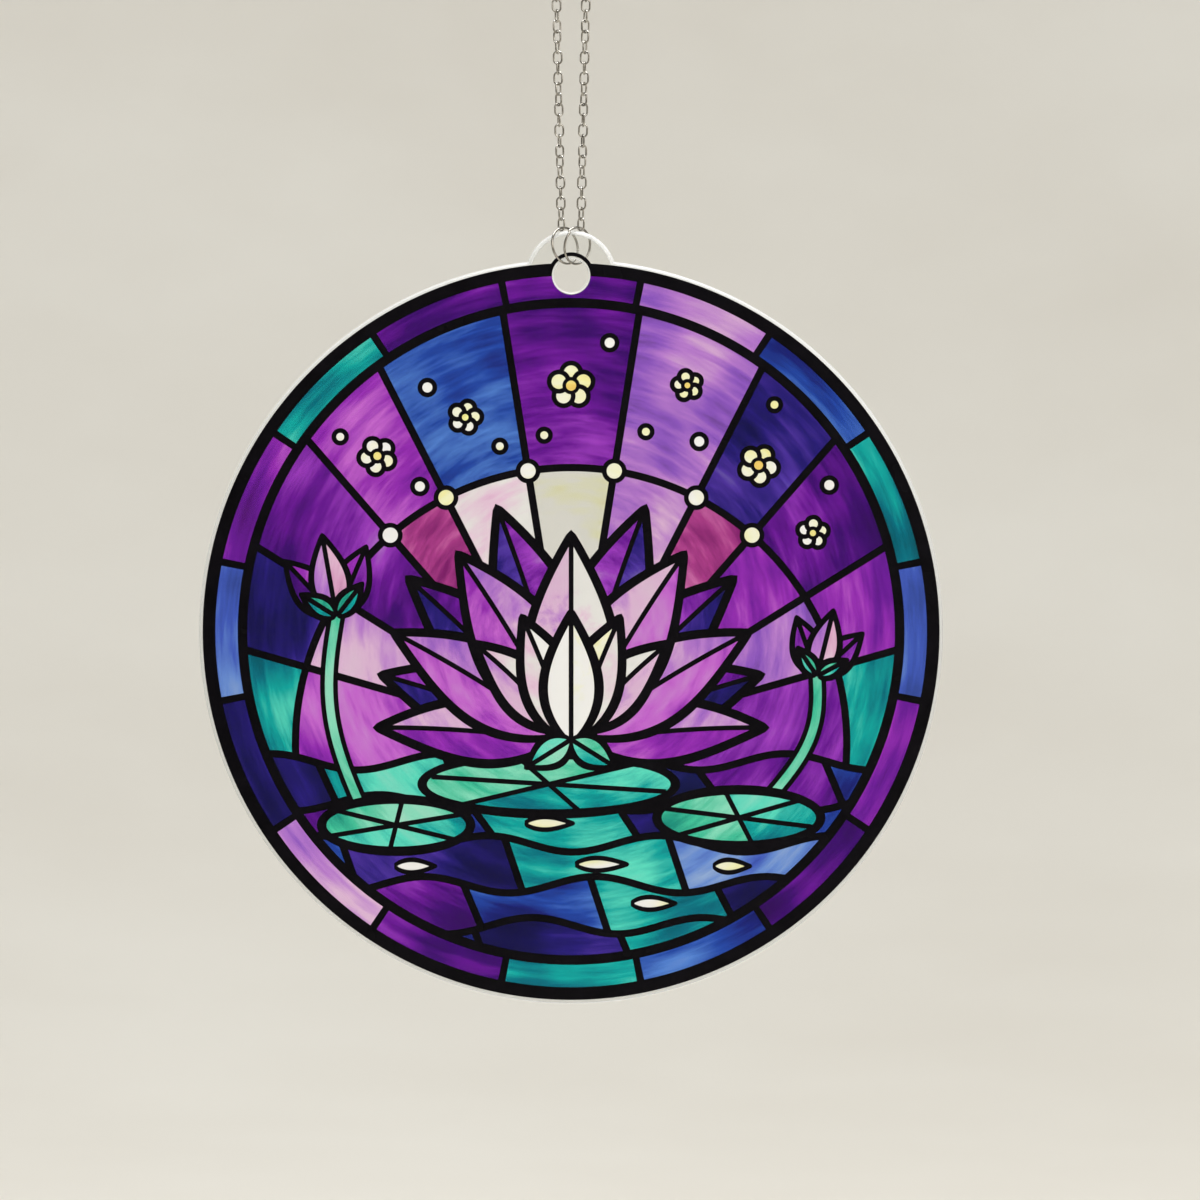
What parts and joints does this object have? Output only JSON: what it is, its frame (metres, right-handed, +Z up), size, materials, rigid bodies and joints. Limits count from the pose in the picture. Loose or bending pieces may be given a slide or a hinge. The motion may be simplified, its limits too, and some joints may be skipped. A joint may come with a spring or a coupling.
{
  "type": "acrylic suncatcher",
  "caption": "Round clear acrylic suncatcher with a printed stained-glass style picture and a tab with a hanging hole, on a fine silver chain with jump rings.",
  "frame": {"origin": "middle of the hook bar that the chain is laid over, at the top of the chain's loop", "axes": "+Z up along the hanging line, +X to the right as seen from the front, the picture faces -Y"},
  "size_m": [0.2, 0.008, 0.2765],
  "materials": {
    "clear_acrylic": "polished",
    "print_lines": "gloss",
    "print_colours": "gloss",
    "silver_wire": "polished"
  },
  "bodies": {
    "root": {"acrylic_panel": "clear_acrylic", "left_ring": "silver_wire", "right_ring": "silver_wire", "chain_link_01": "silver_wire", "chain_link_02": "silver_wire", "chain_link_03": "silver_wire", "chain_link_04": "silver_wire", "chain_link_05": "silver_wire", "chain_link_06": "silver_wire", "chain_link_07": "silver_wire", "chain_link_08": "silver_wire", "chain_link_09": "silver_wire", "chain_link_10": "silver_wire", "chain_link_11": "silver_wire", "chain_link_12": "silver_wire", "chain_link_13": "silver_wire", "chain_link_14": "silver_wire", "chain_link_15": "silver_wire", "chain_link_16": "silver_wire", "chain_link_17": "silver_wire", "chain_link_18": "silver_wire", "chain_link_19": "silver_wire", "chain_link_20": "silver_wire", "chain_link_21": "silver_wire", "chain_link_22": "silver_wire", "chain_link_23": "silver_wire", "chain_link_24": "silver_wire", "chain_link_25": "silver_wire", "chain_link_26": "silver_wire", "chain_link_27": "silver_wire", "chain_link_28": "silver_wire", "chain_link_29": "silver_wire", "chain_link_30": "silver_wire", "chain_link_31": "silver_wire", "chain_link_32": "silver_wire", "chain_link_33": "silver_wire", "chain_link_34": "silver_wire", "chain_link_35": "silver_wire", "chain_link_36": "silver_wire", "chain_link_37": "silver_wire", "chain_link_38": "silver_wire", "chain_link_39": "silver_wire", "chain_link_40": "silver_wire", "chain_link_41": "silver_wire", "chain_link_42": "silver_wire", "chain_link_43": "silver_wire", "chain_link_44": "silver_wire", "chain_link_45": "silver_wire", "chain_link_46": "silver_wire", "chain_link_47": "silver_wire", "chain_link_48": "silver_wire", "chain_link_49": "silver_wire", "chain_link_50": "silver_wire"}
  },
  "joints": []
}
